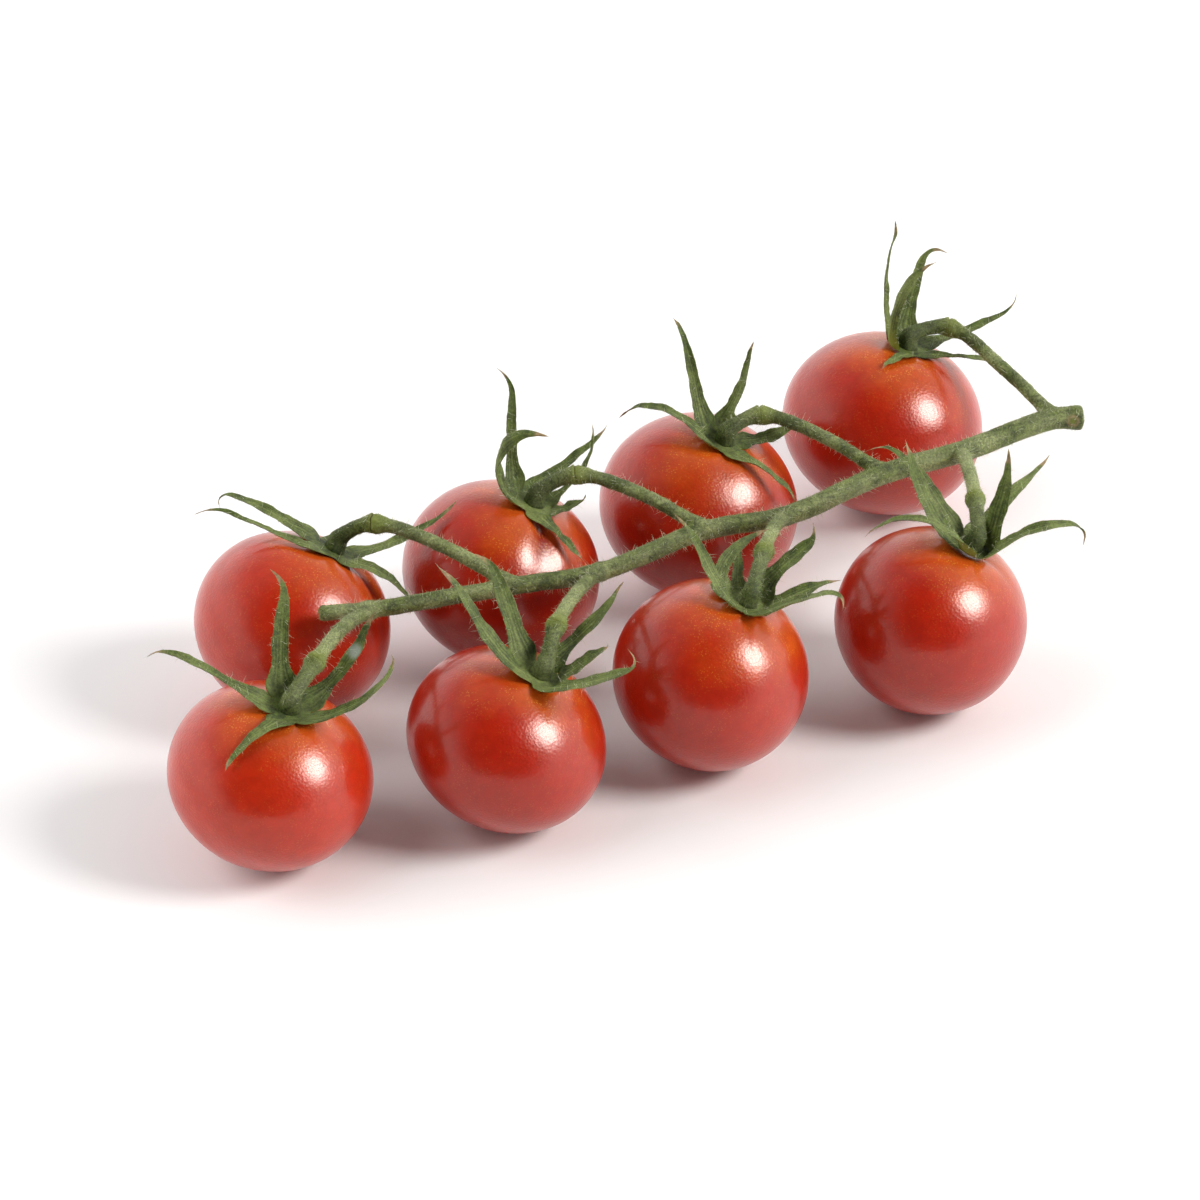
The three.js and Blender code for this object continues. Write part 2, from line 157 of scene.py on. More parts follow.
def note(piece, name, values):
    """Keeps one number for each point of a mesh, which its material can read."""
    layer = piece.data.attributes.new(name, "FLOAT", "POINT")
    layer.data.foreach_set("value", np.asarray(values, np.float32))


def points_of(piece):
    flat = np.zeros(len(piece.data.vertices) * 3, np.float32)
    piece.data.vertices.foreach_get("co", flat)
    return flat.reshape(-1, 3).astype(float)


def normals_of(piece):
    flat = np.zeros(len(piece.data.vertices) * 3, np.float32)
    piece.data.vertices.foreach_get("normal", flat)
    return flat.reshape(-1, 3).astype(float)


def set_points(piece, points):
    piece.data.vertices.foreach_set("co", np.asarray(points, np.float32).ravel())
    piece.data.update()


def grain(points, size, seed=0.0):
    """Soft noise from -1 to 1 at each point, with lumps of about the given size."""
    return np.array([noise.noise(Vector(p / size) + Vector((seed, -seed, seed))) for p in points])


# %% [markdown]
# ## Materials
#
# The finishes are mixed from procedural noise, which needs no pictures and fits any shape. A small
# class keeps the node trees readable. It holds a material and its shader, and each of its helpers
# adds one node: a noise, scattered dots, a number kept on the mesh, a sum, a soft step from one
# span of numbers to another, a mix of two colours, or a bump.

# %% Small helpers for node trees
class Finish:
    """A material under construction: its nodes, and its shader."""

    def __init__(self, name):
        self.material = bpy.data.materials.new(name)
        self.material.use_nodes = True
        self.tree = self.material.node_tree
        self.tree.nodes.clear()
        self.shader = self.tree.nodes.new("ShaderNodeBsdfPrincipled")
        output = self.tree.nodes.new("ShaderNodeOutputMaterial")
        self.link(self.shader.outputs["BSDF"], output.inputs["Surface"])
        self.place = self.add("ShaderNodeTexCoord").outputs["Object"]

    def link(self, source, target):
        self.tree.links.new(source, target)

    def add(self, kind, **settings):
        node = self.tree.nodes.new(kind)
        for key, value in settings.items():
            setattr(node, key, value)
        return node

    def set(self, **inputs):
        for key, value in inputs.items():
            self.shader.inputs[key.replace("_", " ")].default_value = value

    def feed(self, node, key, value):
        """Puts a number, a colour or another node's output into an input."""
        target = node.inputs[key]
        if isinstance(value, bpy.types.NodeSocket):
            self.link(value, target)
        else:
            target.default_value = value

    def noise(self, size, detail=2.0, roughness=0.5):
        node = self.add("ShaderNodeTexNoise")
        node.inputs["Scale"].default_value = 1 / size
        node.inputs["Detail"].default_value = detail
        node.inputs["Roughness"].default_value = roughness
        self.link(self.place, node.inputs["Vector"])
        return node.outputs["Fac"]

    def cells(self, size):
        """Distance to the nearest of many scattered dots, as a share of their spacing."""
        node = self.add("ShaderNodeTexVoronoi")
        node.inputs["Scale"].default_value = 1 / size
        self.link(self.place, node.inputs["Vector"])
        return node.outputs["Distance"]

    def noted(self, name):
        """A number that was kept on the mesh with note()."""
        return self.add("ShaderNodeAttribute", attribute_name=name).outputs["Fac"]

    def maths(self, operation, a, b=0.0):
        node = self.add("ShaderNodeMath", operation=operation)
        self.feed(node, 0, a)
        self.feed(node, 1, b)
        return node.outputs[0]

    def span(self, value, low, high, to_low=0.0, to_high=1.0):
        """Maps low..high onto to_low..to_high with soft ends, and nothing outside them."""
        node = self.add("ShaderNodeMapRange", interpolation_type="SMOOTHSTEP")
        for key, number in zip(range(5), (value, low, high, to_low, to_high)):
            self.feed(node, key, number)
        return node.outputs[0]

    def mix(self, amount, first, second, blend="MIX"):
        node = self.add("ShaderNodeMix", data_type="RGBA", blend_type=blend)
        self.feed(node, 0, amount)
        self.feed(node, 6, first)
        self.feed(node, 7, second)
        return node.outputs[2]

    def bump(self, height, depth, under=None):
        node = self.add("ShaderNodeBump")
        node.inputs["Distance"].default_value = depth
        self.link(height, node.inputs["Height"])
        if under:
            self.link(under, node.inputs["Normal"])
        return node.outputs["Normal"]


def colour(red, green, blue):
    """An opaque colour, as a shader's socket takes it."""
    return (red, green, blue, 1.0)


# %% [markdown]
# ### The skin of the fruits
#
# A ripe cherry tomato is deep red with a warmer, orange shoulder round its crown. Fine golden
# flecks lie under the skin, densest on the shoulder. The skin itself is smooth and waxy, with very
# fine pits that break up a highlight. Light goes a little way into the flesh, so the shader
# scatters it under the surface. Numbers kept on the mesh say where the finish changes: how far a
# point is from the crown, how deep it lies in a groove, where a painted shade darkens the red, and
# whether it is part of the flower's scar.

# %% Mix the fruit skin
# Each red is a pair of colours, which noise mixes.
DEEP_REDS = colour(0.27, 0.006, 0.002), colour(0.37, 0.011, 0.002)
BRIGHT_REDS = colour(0.39, 0.014, 0.003), colour(0.50, 0.026, 0.004)
SHOULDER_ORANGE = colour(0.53, 0.095, 0.006)
# Painted shade: the darker red laid along the grooves.
GROOVE_SHADE_RED = colour(0.22, 0.004, 0.002)
FLECK_GOLD = colour(0.80, 0.34, 0.05)
SCAR_BROWN = colour(0.16, 0.07, 0.025)
PIT_SIZE, PIT_DEPTH = 0.42 * MM, 0.026 * MM


def fruit_skin():
    f = Finish("fruit_skin")
    crown = f.noted("crown")
    uneven = f.maths("MULTIPLY", f.maths("SUBTRACT", f.noise(8 * MM, 3), 0.5), 0.40)
    shoulder = f.span(f.maths("ADD", crown, uneven), 0.35, 0.06)
    deep = f.mix(f.noise(5 * MM, 4), *DEEP_REDS)
    bright = f.mix(f.noise(4 * MM, 4), *BRIGHT_REDS)
    flesh = f.mix(f.noted("tone"), deep, bright)
    ripe = f.mix(f.maths("MULTIPLY", shoulder, 0.75), flesh, SHOULDER_ORANGE)
    # Painted shade darkens the red along each groove.
    ripe = f.mix(f.noted("groove_shade"), ripe, GROOVE_SHADE_RED)
    blotch = f.span(f.noise(1.6 * MM, 4, 0.6), 0.35, 0.65, 0.93, 1.05)
    ripe = f.mix(1.0, ripe, blotch, "MULTIPLY")
    dots = f.span(f.cells(0.34 * MM), 0.40, 0.08)
    some = f.span(f.noise(2.6 * MM, 4, 0.6), 0.42, 0.62)
    many = f.maths("ADD", f.maths("MULTIPLY", shoulder, 0.62), 0.14)
    flecks = f.maths("MULTIPLY", f.maths("MULTIPLY", dots, some), many)
    skin = f.mix(flecks, ripe, FLECK_GOLD)
    f.link(f.mix(f.noted("scar"), skin, SCAR_BROWN), f.shader.inputs["Base Color"])
    pits = f.bump(f.cells(PIT_SIZE), PIT_DEPTH)
    f.link(f.bump(f.noise(1.4 * MM, 4, 0.6), 0.030 * MM, pits), f.shader.inputs["Normal"])
    # The reflections are tinted warm: a painted warm reflection that stands in for bounced red light.
    f.set(Roughness=0.29, IOR=1.44, Specular_Tint=colour(1.0, 0.84, 0.74))
    f.set(Coat_Weight=0.36, Coat_Roughness=0.14)
    f.set(Subsurface_Weight=0.22, Subsurface_Scale=2.5 * MM, Subsurface_Radius=(1.0, 0.22, 0.10))
    return f.material


SKIN = fruit_skin()
print("made", SKIN.name)

# %% [markdown]
# ### The green pieces
#
# Stems and sepals share one recipe with different colours. Their green is mottled, and a little
# sheen gives it the soft edge of a downy thing. Again, numbers kept on the mesh say where the finish
# changes. Ribs and veins are pale, and so are random patches and streaks of the stem. The front
# pedicels are painted paler, a painted light. A painted shade darkens the strips between the veins
# of the sepals, the stalks towards their calyx and the back pedicels, and random patches of the stem
# are deeper. Young growth is a fresh yellow-green, tips and cut ends are dry and brown, and one sepal
# has a grey patch of mildew.

# %% Mix the greens
FRESH_GREEN = colour(0.20, 0.24, 0.022)
MILDEW_GREY = colour(0.36, 0.40, 0.35)
DRY_BROWNS = colour(0.08, 0.045, 0.018), colour(0.48, 0.34, 0.17)


def green(name, dark, middle, pale, felted):
    """A downy green. How felted it is says how strongly the finest speckle shows."""
    f = Finish(name)
    mottle = f.noise(1.3 * MM, 5, 0.65)
    patches = f.noise(6 * MM, 2)
    body = f.mix(f.span(mottle, 0.34, 0.62), dark, middle)
    body = f.mix(f.maths("MULTIPLY", f.span(patches, 0.40, 0.70), 0.5), body, pale)
    # The pale number is partly painted light, on the front pedicels. The deep number below is partly
    # painted shade: between the veins, on the stalks and on the back pedicels.
    body = f.mix(f.maths("MULTIPLY", f.noted("pale"), 0.75), body, pale)
    body = f.mix(f.noted("deep"), body, dark)
    felt = f.span(f.noise(0.34 * MM, 3, 0.75), 0.36, 0.64, 1 - felted, 1 + 1.1 * felted)
    body = f.mix(1.0, body, felt, "MULTIPLY")
    body = f.mix(f.maths("MULTIPLY", f.noted("fresh"), 0.8), body, FRESH_GREEN)
    dry = f.mix(f.noise(0.5 * MM, 3), *DRY_BROWNS)
    body = f.mix(f.noted("mildew"), body, MILDEW_GREY)
    f.link(f.mix(f.noted("dry"), body, dry), f.shader.inputs["Base Color"])
    rough = f.bump(f.noise(0.16 * MM, 3, 0.7), 0.10 * MM)
    f.link(f.bump(f.noise(0.45 * MM, 3, 0.6), 0.14 * MM, rough), f.shader.inputs["Normal"])
    f.set(Roughness=0.66, IOR=1.4, Sheen_Weight=0.06, Sheen_Roughness=0.5)
    f.set(Sheen_Tint=colour(0.75, 0.82, 0.45))
    f.set(Subsurface_Weight=0.08, Subsurface_Scale=0.6 * MM, Subsurface_Radius=(0.4, 0.8, 0.15))
    return f.material


STEM_GREEN = green(
    "stem_green",
    dark=colour(0.030, 0.044, 0.007),
    middle=colour(0.110, 0.142, 0.028),
    pale=colour(0.27, 0.30, 0.125),
    felted=0.40,
)
SEPAL_GREEN = green(
    "sepal_green",
    dark=colour(0.020, 0.032, 0.004),
    middle=colour(0.088, 0.122, 0.018),
    pale=colour(0.25, 0.30, 0.09),
    felted=0.24,
)


def down(name, tint):
    f = Finish(name)
    f.set(Base_Color=tint, Roughness=0.5)
    return f.material


FELT = down("plant_felt", colour(0.27, 0.31, 0.13))
HAIR = down("plant_hair", colour(0.66, 0.68, 0.46))
print("made", STEM_GREEN.name, SEPAL_GREEN.name, FELT.name, HAIR.name)

# %% [markdown]
# ## The fruits
#
# A fruit is a ball that is a little flatter than wide, with a dimple where the stalk sits, shallow
# grooves that run down from the dimple, and a tiny scar at the far end where the flower was. The
# ball starts as a cube that is cut into a fine grid and blown up round. Unlike a globe of
# meridians, it has no poles where faces crowd, so highlights run clean over it. Each point is then
# moved along its own radius.

# %% Measure a plain fruit
def fruit_sizes(fruit):
    """Its middle, the way to its crown, its half width, its half height and its dimple's depth."""
    points, _ = welded("tomato_" + fruit)
    mean = points.mean(axis=0)
    # The plain points lie in rings round the crown, so they spread most along the axis.
    axis = np.linalg.eigh(np.cov((points - mean).T))[1][:, -1]
    axis *= math.copysign(1, axis[2])
    height = (points - mean) @ axis
    reach = np.linalg.norm(points - mean - np.outer(height, axis), axis=1)
    across = reach.max()
    middle = mean + axis * height[reach > 0.999 * across].mean()
    height = (points - middle) @ axis
    tall = -height.min()
    dimple = tall - height[np.argmin(reach + (height < 0))]
    return middle, axis, across, tall, dimple


SIZES = {fruit: fruit_sizes(fruit) for fruit in FRUITS}
for fruit, (middle, axis, across, tall, dimple) in SIZES.items():
    print(fruit, "width", round(2 * across / MM, 1), "height", round(2 * tall / MM, 1),
          "dimple", round(dimple / MM, 2))

# %% Blow up a cube into a ball
BALL_CUTS = 51


def ball_grid():
    """Points on a unit ball, evenly spread, and their four-sided faces."""
    mesh = bmesh.new()
    bmesh.ops.create_cube(mesh, size=2.0)
    bmesh.ops.subdivide_edges(mesh, edges=mesh.edges[:], cuts=BALL_CUTS, use_grid_fill=True)
    points = np.tan(np.array([v.co for v in mesh.verts]) * math.pi / 4)
    faces = [[v.index for v in f.verts] for f in mesh.faces]
    mesh.free()
    return points / np.linalg.norm(points, axis=1)[:, None], faces


BALL_POINTS, BALL_FACES = ball_grid()
print(len(BALL_FACES), "faces on a ball")

# %% Describe each fruit
# How bright and orange each fruit is, from a deep red at 0.
TONES = {
    "front_1": 0.95, "front_2": 0.35, "front_3": 0.45, "front_4": 0.30,
    "back_1": 0.80, "back_2": 0.35, "back_3": 0.45, "back_4": 0.40,
}
# For each fruit, its grooves: the way that each runs down, in degrees from +X, counterclockwise
# from above, its depth in mm, its half width in degrees, and how far from the crown it fades out.
GROOVES = {
    "front_1": [(-150, 0.25, 16, 60), (20, 0.2, 20, 50)],
    "front_2": [(-70, 0.12, 16, 45), (-160, 0.06, 22, 50)],
    "front_3": [(-85, 0.15, 14, 45), (150, 0.06, 22, 50)],
    "front_4": [(-50, 0.25, 9, 38), (-140, 0.15, 16, 50)],
    "back_1": [(-48, 0.85, 11, 85), (120, 0.3, 16, 60)],
    "back_2": [(-98, 0.85, 15, 90), (-160, 0.15, 18, 55)],
    "back_3": [(-112, 0.16, 18, 55), (-20, 0.10, 18, 50)],
    "back_4": [(-64, 0.14, 14, 45), (-150, 0.12, 16, 50)],
}
print(sum(len(grooves) for grooves in GROOVES.values()), "grooves on", len(TONES), "fruits")

# %% Shape and place the fruits
DIMPLE_SPREAD = math.radians(14)
GROOVE_START = math.radians(9)
LOBES = 0.10 * MM
UNEVENNESS = 0.12 * MM
SCAR_RADIUS = 0.9 * MM
SCAR_HOLLOW, SCAR_DEPTH = 1.6 * MM, 0.35 * MM


def fruit_piece(fruit):
    middle, axis, across, tall, dimple = SIZES[fruit]
    east = unit(np.array([1.0, 0, 0]) - axis[0] * axis)
    north = np.cross(axis, east)
    polar = np.arccos(np.clip(BALL_POINTS[:, 2], -1, 1))
    turn = np.arctan2(BALL_POINTS[:, 1], BALL_POINTS[:, 0])
    ways = (
        np.outer(BALL_POINTS[:, 0], east)
        + np.outer(BALL_POINTS[:, 1], north)
        + np.outer(BALL_POINTS[:, 2], axis)
    )
    radius = 1 / np.hypot(np.sin(polar) / across, np.cos(polar) / tall)
    radius -= dimple * np.exp(-((polar / DIMPLE_SPREAD) ** 2))
    seed = FRUITS.index(fruit)
    swell = np.sin(polar) ** 2
    radius += LOBES * swell * (np.sin(2 * turn + seed) + 0.6 * np.sin(3 * turn + 2.1 * seed))
    radius += UNEVENNESS * grain(ways, 0.7, seed)
    groove_shade = np.zeros(len(radius))
    for towards, depth, width, reach in GROOVES[fruit]:
        off = np.angle(np.exp(1j * (turn - math.radians(towards))))
        near = np.clip(1 - polar / math.radians(reach), 0, 1)
        begins = 1 - np.exp(-((polar / GROOVE_START) ** 2))
        shape = depth * begins * near**0.7 * np.exp(-((off / math.radians(width)) ** 2))
        radius -= shape * MM
        # The painted shade follows the middle of each groove and grows with its depth.
        groove_shade += np.exp(-((off / math.radians(0.6 * width)) ** 2)) * shape
    end = np.pi - polar
    radius -= SCAR_DEPTH * np.exp(-((end * tall / SCAR_HOLLOW) ** 2))
    points = middle + ways * radius[:, None]
    points[:, 2] -= points[:, 2].min()
    piece = make_piece("fruit_" + fruit, points, BALL_FACES, SKIN, "tomato_" + fruit)
    note(piece, "crown", polar / np.pi)
    note(piece, "tone", np.full(len(points), TONES[fruit]))
    note(piece, "groove_shade", np.clip(1.6 * groove_shade, 0, 0.85))
    note(piece, "scar", np.exp(-((end * tall / SCAR_RADIUS) ** 4)))
    return piece


for fruit in FRUITS:
    piece = fruit_piece(fruit)
    print(piece.name, "lowest point", round(points_of(piece)[:, 2].min() / MM, 3), "mm")

# %% [markdown]
# ## The calyxes
#
# A calyx is a green hub with five or six long, narrow sepals. It could be modelled leaf by leaf and
# stitched to the hub, but a subdivision surface grows leaves and hub from one cage with no seam.
# The cage is read off the plain node. A walk from each sepal's tip meets its cross sections, four
# points each: two margins, the midrib's top and its underside. The margins are creased, so that
# they stay sharp, and are pushed about a little, because no sepal is straight-edged. No two sepals
# are alike either, so a table says how each one bends, curls, hooks, twists and widens.

# %% Read the cross sections of the sepals
SECTIONS = 9


def widest_pair(points, ring):
    """The two points of a ring that lie furthest apart, which are the margins."""
    pairs = [(a, b) for a in ring for b in ring if a < b]
    return max(pairs, key=lambda p: np.linalg.norm(points[p[0]] - points[p[1]]))


def ordered(points, ring, like):
    """The ring's four points in the order left, top, right, underside, as in an ordered one."""
    shift = points[ring].mean(axis=0) - points[like].mean(axis=0)
    margins = widest_pair(points, ring)
    ribs = [i for i in ring if i not in margins]

    def nearest(choice, target):
        return min(choice, key=lambda i: np.linalg.norm(points[i] - shift - points[target]))

    left = nearest(margins, like[0])
    right = margins[1] if left == margins[0] else margins[0]
    top = nearest(ribs, like[1])
    under = ribs[1] if top == ribs[0] else ribs[0]
    return [left, top, right, under]


def sepal_rings(points, near, tip, axis, middle):
    """A sepal's cross sections from the hub to the tip, each in the order left, top, right, under."""
    rings = walk(near, tip, SECTIONS)[::-1]
    rim = rings[0]
    margins = widest_pair(points, rim)
    ribs = sorted((i for i in rim if i not in margins), key=lambda i: points[i] @ axis)
    out = points[rim].mean(axis=0) - middle
    left_way = np.cross(axis, out - (out @ axis) * axis)
    right, left = sorted(margins, key=lambda i: (points[i] - middle) @ left_way)
    found = [[left, ribs[1], right, ribs[0]]]
    for ring in rings[1:]:
        found.append(ordered(points, ring, found[-1]))
    return found


# %% Say how each sepal lies
# The sepals of each calyx, counterclockwise. The first four numbers are degrees: how far the sepal
# bends to its left, how far its end curls up, how far the end hooks round to the left, and how far
# the blade twists on its way there. The last is how wide its outer part is, against the plain one.
LOOKS = {
    "front_1": [
        (0, 30, 20, 0, 0.80), (0, 40, -10, 0, 0.85), (0, 0, -20, 20, 0.78), (-10, 0, 60, -10, 0.85),
        (0, -25, 0, 0, 0.72),
    ],
    "front_2": [
        (0, 40, 0, 0, 1.25), (0, 20, -20, 0, 1.35), (0, 10, -20, 10, 1.00), (0, 20, 60, -10, 1.00),
        (-5, 0, 25, 10, 1.15),
    ],
    "front_3": [
        (-14, -55, 0, 0, 1.00), (16, -10, 0, 0, 1.15), (0, 20, 60, 0, 1.10), (-30, 0, 0, 15, 1.00),
        (0, 0, 0, 0, 0.90), (-15, 0, 20, 0, 0.85),
    ],
    "front_4": [
        (0, -60, 0, 0, 1.00), (0, 0, 10, 0, 1.00), (0, 0, 20, 0, 1.00), (0, 0, 60, 0, 0.80),
        (0, 0, 10, -10, 1.10), (0, -10, -20, 0, 1.00),
    ],
    "back_1": [
        (0, -30, 20, 0, 1.10), (0, 0, 10, 15, 1.00), (0, 0, 0, 0, 1.00), (0, -80, 0, 0, 1.00),
        (0, -30, 30, 0, 0.70),
    ],
    "back_2": [
        (0, 20, 0, 80, 1.50), (0, 0, 0, 0, 0.85), (0, 40, 20, 0, 0.90), (0, -20, 60, 0, 0.75),
        (0, 0, 10, 10, 1.10), (0, 0, 70, 0, 0.62),
    ],
    "back_3": [
        (0, -20, 0, 0, 0.85), (0, 40, -40, 20, 1.10), (0, 0, -10, 0, 0.85), (15, 0, 0, 0, 0.68),
        (0, -10, 10, 0, 0.90),
    ],
    "back_4": [
        (0, 0, 0, 0, 1.10), (8, 0, 15, 60, 1.05), (0, 0, 0, 0, 0.90), (0, 20, 20, 0, 0.90),
        (13, 0, -90, 0, 0.80), (0, 0, 30, 0, 0.80),
    ],
}
print(sum(len(looks) for looks in LOOKS.values()), "sepals on", len(LOOKS), "calyxes")

# %% Draw smooth lines and turn them
def through(values, count):
    """A smooth run of values through the given ones, at evenly spaced places."""
    values = np.asarray(values, float)
    ends = np.concatenate([[2 * values[0] - values[1]], values, [2 * values[-1] - values[-2]]])
    run = []
    for place in np.linspace(0, len(values) - 1, count):
        i = min(int(place), len(values) - 2)
        t = place - i
        a, b, c, d = ends[i : i + 4]
        run.append(
            b + 0.5 * t * (c - a + t * (2 * a - 5 * b + 4 * c - d + t * (3 * (b - c) + d - a)))
        )
    return np.array(run)


def turned(points, centre, line, degrees):
    """The points, turned about a line through the centre."""
    angle = math.radians(degrees)
    away = points - centre
    return (
        centre
        + away * math.cos(angle)
        + np.cross(line, away) * math.sin(angle)
        + (away @ line)[..., None] * line * (1 - math.cos(angle))
    )


def bump_at(share, where, width):
    """1 where share is at the given place, and softly down to 0 on both sides of it."""
    return math.exp(-(((share - where) / width) ** 2))


# %% Shape a sepal
STEPS = 18
HOOK_FROM = 0.80
WAVINESS = 0.18 * MM
KEEL = 0.25 * MM
TIP_STRETCH = 0.4


def sepal_lines(lines, look, random):
    """Gives a sepal its fullness, its gutter and its wavy edges, and bends it. lines holds its cross
    sections from the hub's rim to its tip, each as left, top, right and underside."""
    bend, curl, hook, twist, width = look
    phases = random.uniform(0, 2 * math.pi, 8)
    for j in range(1, STEPS):
        share = j / STEPS
        left, top, right, under = lines[j]
        blade = unit(top - under)
        wide = left - right
        middle = (left + right) / 2
        outer = min(1, max(0, (share - 0.04) / 0.25))
        full = 1 + 0.75 * bump_at(share, 0.08, 0.10) + 0.25 * bump_at(share, 0.62, 0.24)
        full *= 1 + (width - 1) * outer
        for k, side, first in ((0, 0.5, 0), (2, -0.5, 4)):
            a, b, c, d = phases[first : first + 4]
            uneven = 0.07 * math.sin(9 * share + a) + 0.05 * math.sin(23 * share + b)
            lift = (0.05 + 0.13 * share) * np.linalg.norm(wide)
            lift += WAVINESS * outer * (math.sin(11 * share + c) + 0.6 * math.sin(26 * share + d))
            lines[j, k] = middle + wide * side * (full + uneven) + blade * lift
        lines[j, 3] -= blade * KEEL * bump_at(share, 0.05, 0.14)
        lines[j] = turned(lines[j], middle, unit(np.cross(wide, blade)), twist * share**1.5)
    ends = round((1 - HOOK_FROM) * STEPS)
    for j in range(1, STEPS):
        middle = lines[j].mean(axis=0)
        wide = unit(lines[j, 0] - lines[j, 2])
        blade = lines[j, 1] - lines[j, 3]
        blade = unit(blade - (blade @ wide) * wide)
        out = lines[j + 1].mean(axis=0) - middle
        left_turn = math.copysign(1, np.cross(blade, out) @ wide)
        up_turn = math.copysign(1, np.cross(wide, out) @ blade)
        sideways = bend / STEPS
        if j >= STEPS - ends:
            sideways += hook / ends
            lines[j + 1 :] = turned(lines[j + 1 :], middle, wide, up_turn * curl / ends)
        lines[j + 1 :] = turned(lines[j + 1 :], middle, blade, left_turn * sideways)
    lines[STEPS] += (lines[STEPS] - lines[STEPS - 1].mean(axis=0)) * TIP_STRETCH
    return lines


# %% Build the cage of a calyx
RIB_RISE = 0.55 * MM
# One sepal has a patch of grey mildew: the calyx, the sepal's number and the cross section.
MILDEW = ("front_1", 2, 11)
SPOTS = {}  # where the mildew of a calyx is, found while its cage is built


def calyx_cage(fruit, random):
    """Points, faces, creased edges and, for each point, how far along a sepal and how marginal."""
    middle, axis = SIZES[fruit][:2]
    plain, triangles = welded("calyx_" + fruit)
    near = neighbours(len(plain), triangles)
    east = unit(np.array([1.0, 0, 0]) - axis[0] * axis)
    north = np.cross(axis, east)
    tips = [i for i in range(len(plain)) if len(near[i]) == 4]
    tips.sort(key=lambda i: math.atan2((plain[i] - middle) @ north, (plain[i] - middle) @ east))
    points, along, margin, faces, creased = [], [], [], [], []
    number = {}

    def put(point, share, edge, name=None):
        """Adds a point, or finds the one already added for a point of the rim."""
        if name in number:
            return number[name]
        if name is not None:
            number[name] = len(points)
        points.append(point)
        along.append(share)
        margin.append(edge)
        return len(points) - 1

    found = [sepal_rings(plain, near, tip, axis, middle) for tip in tips]
    rim = sorted({i for rings in found for i in (rings[0][0], rings[0][2])})
    hub = plain[rim].mean(axis=0)
    top = put(hub + axis * RIB_RISE, 0.0, 0.0)
    bottom = put(hub - axis * RIB_RISE, 0.0, 0.0)
    for at, (tip, rings, look) in enumerate(zip(tips, found, LOOKS[fruit])):
        lines = np.stack(
            [through([plain[r[k]] for r in rings] + [plain[tip]], STEPS + 1) for k in range(4)],
            axis=1,
        )
        lines = sepal_lines(lines, look, random)
        if (fruit, at) == MILDEW[:2]:
            SPOTS[fruit] = lines[MILDEW[2]].mean(axis=0)
        last = [put(plain[i], 0.0, (1.0, 0.0)[k % 2], i) for k, i in enumerate(rings[0])]
        faces += [(top, last[2], last[1], last[0]), (bottom, last[0], last[3], last[2])]
        for j in range(1, STEPS):
            ring = [put(lines[j, k], j / STEPS, (1.0, 0.0)[k % 2]) for k in range(4)]
            for k in range(4):
                k1 = (k + 1) % 4
                faces.append((last[k], last[k1], ring[k1], ring[k]))
            creased += [(last[0], ring[0]), (last[2], ring[2])]
            last = ring
        end = put(lines[STEPS, 0], 1.0, 1.0)
        faces += [(last[k], last[(k + 1) % 4], end) for k in range(4)]
        creased += [(i, end) for i in last]
    return np.array(points), faces, creased, np.array(along), np.array(margin)


# %% Subdivide a cage
def subdivided(piece, levels):
    """Replaces the piece's mesh by its subdivision surface."""
    modifier = piece.modifiers.new("fine", "SUBSURF")
    modifier.levels = modifier.render_levels = levels
    bpy.context.view_layer.update()
    shaped = piece.evaluated_get(bpy.context.evaluated_depsgraph_get())
    fine = bpy.data.meshes.new_from_object(shaped)
    piece.modifiers.clear()
    coarse, piece.data = piece.data, fine
    bpy.data.meshes.remove(coarse)
    piece.data.polygons.foreach_set("use_smooth", [True] * len(piece.data.polygons))


def noted_values(piece, name):
    """Reads back the numbers that note() kept."""
    values = np.zeros(len(piece.data.vertices), np.float32)
    piece.data.attributes[name].data.foreach_get("value", values)
    return values.astype(float)


# %% [markdown]
# ### The surface of the sepals
#
# A subdivided cage is too smooth to be a leaf. A midrib and two veins on each side of it run along
# a sepal, the blade is rough between them, and the margin waves. These are moved points rather than
# bump, so that they show in the outline too. The veins then give the pale number that the green
# finish reads, and the deep number, a painted shade that darkens the strips between them. The
# margins and the tip give the dry one.

# %% Finish the calyxes
SEPAL_LEVELS = 3
MARGIN_CREASE = 0.9
VEIN_HEIGHT = 0.11 * MM
BLADE_ROUGHNESS = 0.05 * MM
MARGIN_WAVE = 0.16 * MM
MILDEW_RADIUS = 1.1 * MM


